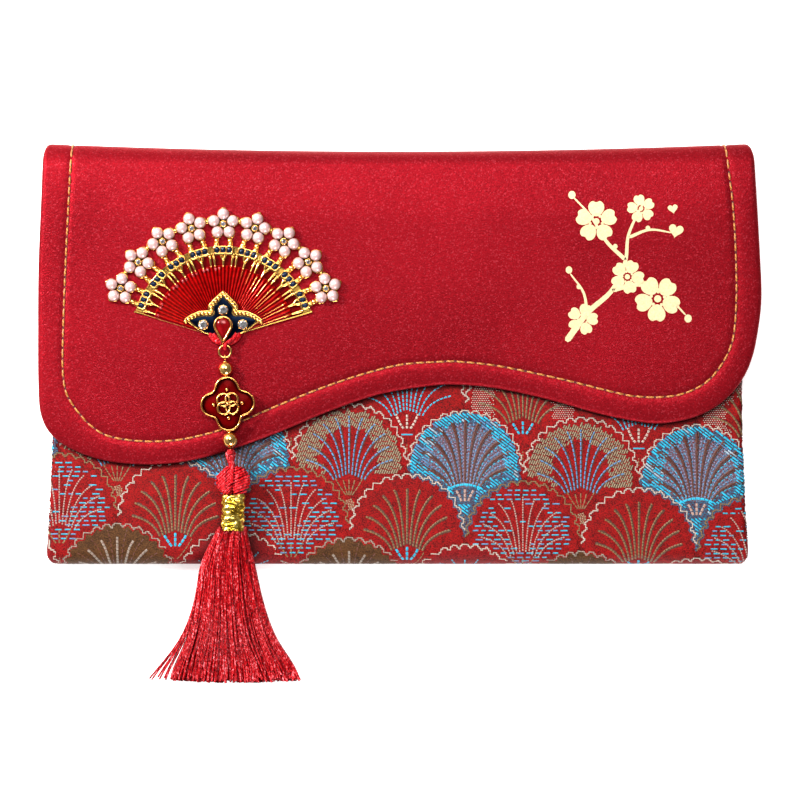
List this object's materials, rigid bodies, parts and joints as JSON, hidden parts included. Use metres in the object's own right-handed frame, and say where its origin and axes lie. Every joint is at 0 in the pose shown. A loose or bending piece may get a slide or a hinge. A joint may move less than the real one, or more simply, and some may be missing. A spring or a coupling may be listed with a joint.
{
  "type": "gift envelope",
  "caption": "Red satin and brocade money envelope with a padded wave-edged flap, a gold fan brooch set with pearls, and a hanging charm and tassel.",
  "frame": {"origin": "middle of the back face, which lies on the table", "axes": "+X along the width, +Y towards the top fold, +Z out of the front, through the flap and the brooch"},
  "size_m": [0.191, 0.1423, 0.0157],
  "materials": {
    "red_satin": "satin",
    "brocade": "woven",
    "lining": "satin",
    "gold_thread": "satin",
    "board": "matte",
    "foam": "matte",
    "steel": "satin",
    "magnet": "gloss",
    "gold": "polished",
    "red_enamel": "gloss",
    "blue_enamel": "gloss",
    "pearl": "gloss",
    "crystal": "gloss",
    "blue_stone": "gloss",
    "red_stone": "gloss",
    "red_silk": "satin"
  },
  "bodies": {
    "pouch": {"back_cover": "red_satin", "back_board": "board", "back_lining": "lining", "front_cover": "brocade", "bottom_fold": "brocade", "front_board": "board", "keeper_plates": "steel", "front_lining": "lining", "left_gusset": "lining", "right_gusset": "lining", "back_stitching": "gold_thread"},
    "spine": {"spine_cover": "red_satin", "spine_lining": "lining"},
    "flap": {"flap_cover": "red_satin", "flap_board": "board", "flap_foam": "foam", "flap_magnets": "magnet", "flap_lining": "lining", "flap_stitching": "gold_thread", "fan_frame": "gold", "fan_leaf": "red_enamel", "fan_ribs": "gold", "flower_pearls": "pearl", "flower_crystals": "crystal", "band_stones": "blue_stone", "crest": "gold", "crest_enamel": "blue_enamel", "crest_crystals": "crystal", "teardrop_collar": "gold", "teardrop_stone": "red_stone", "brooch_posts": "gold", "post_washers": "steel", "hanger_cord": "red_silk"},
    "ring": {"jump_ring": "gold"},
    "charm": {"upper_bead": "gold", "upper_eye_pin": "gold", "charm_frame": "gold", "charm_enamel": "red_enamel", "charm_rosette": "gold", "lower_bead": "gold", "lower_eye_pin": "gold"},
    "tassel": {"tassel_cord": "red_silk", "tassel_knot": "red_silk", "tassel_binding": "gold_thread", "tassel_skirt": "red_silk"}
  },
  "joints": [
    {"name": "spine_fold", "type": "hinge", "parent": "pouch", "child": "spine", "pos_m": [0, 0.05405, 0.00115], "axis": [-1, 0, 0], "range_deg": [0, 80]},
    {"name": "flap_fold", "type": "hinge", "parent": "spine", "child": "flap", "pos_m": [0, 0.05405, 0.00955], "axis": [-1, 0, 0], "range_deg": [0, 80]},
    {"name": "ring_lift", "type": "hinge", "parent": "flap", "child": "ring", "pos_m": [-0.0454, 0.0025, 0.0129], "axis": [-1, 0, 0], "range_deg": [0, 90]},
    {"name": "charm_swing", "type": "hinge", "parent": "ring", "child": "charm", "pos_m": [-0.0454, -0.0007, 0.0129], "axis": [0, 0, 1], "range_deg": [-18, 18]},
    {"name": "tassel_swing", "type": "hinge", "parent": "charm", "child": "tassel", "pos_m": [-0.0439, -0.02525, 0.0129], "axis": [0, 0, 1], "range_deg": [-18, 18]}
  ],
  "couplings": [
    {"joint": "spine_fold", "follows": "flap_fold", "ratio": 1}
  ]
}
